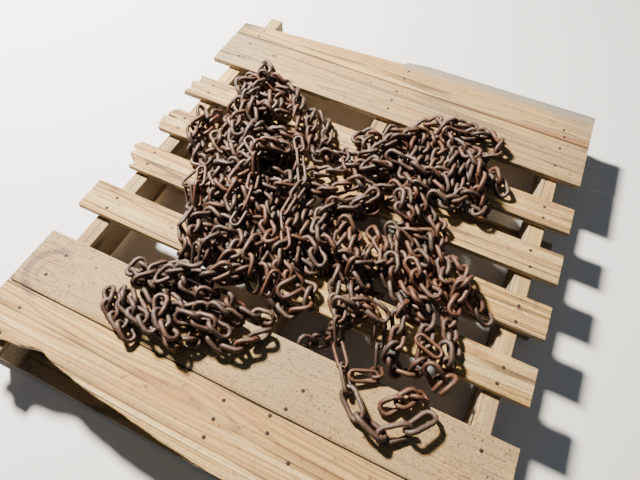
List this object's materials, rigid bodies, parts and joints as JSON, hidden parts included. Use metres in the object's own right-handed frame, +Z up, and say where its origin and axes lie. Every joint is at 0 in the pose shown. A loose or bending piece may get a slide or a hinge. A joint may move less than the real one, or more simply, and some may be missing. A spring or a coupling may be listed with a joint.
{
  "type": "chain heap on pallet",
  "caption": "Low tangled heap of heavy rusty iron link chain lying on a worn softwood stringer pallet with gapped, broken deck boards.",
  "frame": {"origin": "middle of the pallet's footprint, at the level of the floor it stands on", "axes": "+Z up, +Y along the pallet's stringers away from the side that the picture was taken from, +X along the boards to the right"},
  "size_m": [1.067, 1.219, 0.2341],
  "materials": {
    "rusty_iron": "matt rust, sunlit tan to dark brown in the shade",
    "weathered_pine": "dry sawn softwood, weathered and soiled"
  },
  "bodies": {
    "root": {"bottom_board_1": "weathered_pine", "bottom_board_2": "weathered_pine", "bottom_board_3": "weathered_pine", "bottom_board_4": "weathered_pine", "bottom_board_5": "weathered_pine", "chain_bump_left": "rusty_iron", "chain_bump_top": "rusty_iron", "chain_core_front_left": "rusty_iron", "chain_core_front_right": "rusty_iron", "chain_core_left": "rusty_iron", "chain_core_right": "rusty_iron", "chain_edge_left": "rusty_iron", "chain_front_drop_left": "rusty_iron", "chain_front_drop_right": "rusty_iron", "chain_front_left": "rusty_iron", "chain_front_loop": "rusty_iron", "chain_front_ring": "rusty_iron", "chain_hollow_back": "rusty_iron", "chain_hollow_middle": "rusty_iron", "chain_lobe_back": "rusty_iron", "chain_lobe_bridge": "rusty_iron", "chain_lobe_front": "rusty_iron", "chain_lobe_middle": "rusty_iron", "chain_mound_left": "rusty_iron", "chain_mound_middle": "rusty_iron", "chain_mound_top": "rusty_iron", "chain_right_back": "rusty_iron", "chain_right_corner": "rusty_iron", "chain_right_edge": "rusty_iron", "chain_right_fall": "rusty_iron", "chain_right_front": "rusty_iron", "chain_right_low": "rusty_iron", "chain_right_outlier": "rusty_iron", "chain_right_tail": "rusty_iron", "chain_right_top": "rusty_iron", "chain_slim_left": "rusty_iron", "chain_slim_middle": "rusty_iron", "chain_slim_right": "rusty_iron", "chain_tangle_front": "rusty_iron", "chain_tangle_left": "rusty_iron", "chain_tangle_middle": "rusty_iron", "chain_tangle_right": "rusty_iron", "deck_board_1": "weathered_pine", "deck_board_2": "weathered_pine", "deck_board_3": "weathered_pine", "deck_board_4": "weathered_pine", "deck_board_5": "weathered_pine", "deck_board_6": "weathered_pine", "deck_board_7": "weathered_pine", "deck_board_8": "weathered_pine", "stringer_left": "weathered_pine", "stringer_middle": "weathered_pine", "stringer_right": "weathered_pine"}
  },
  "joints": []
}
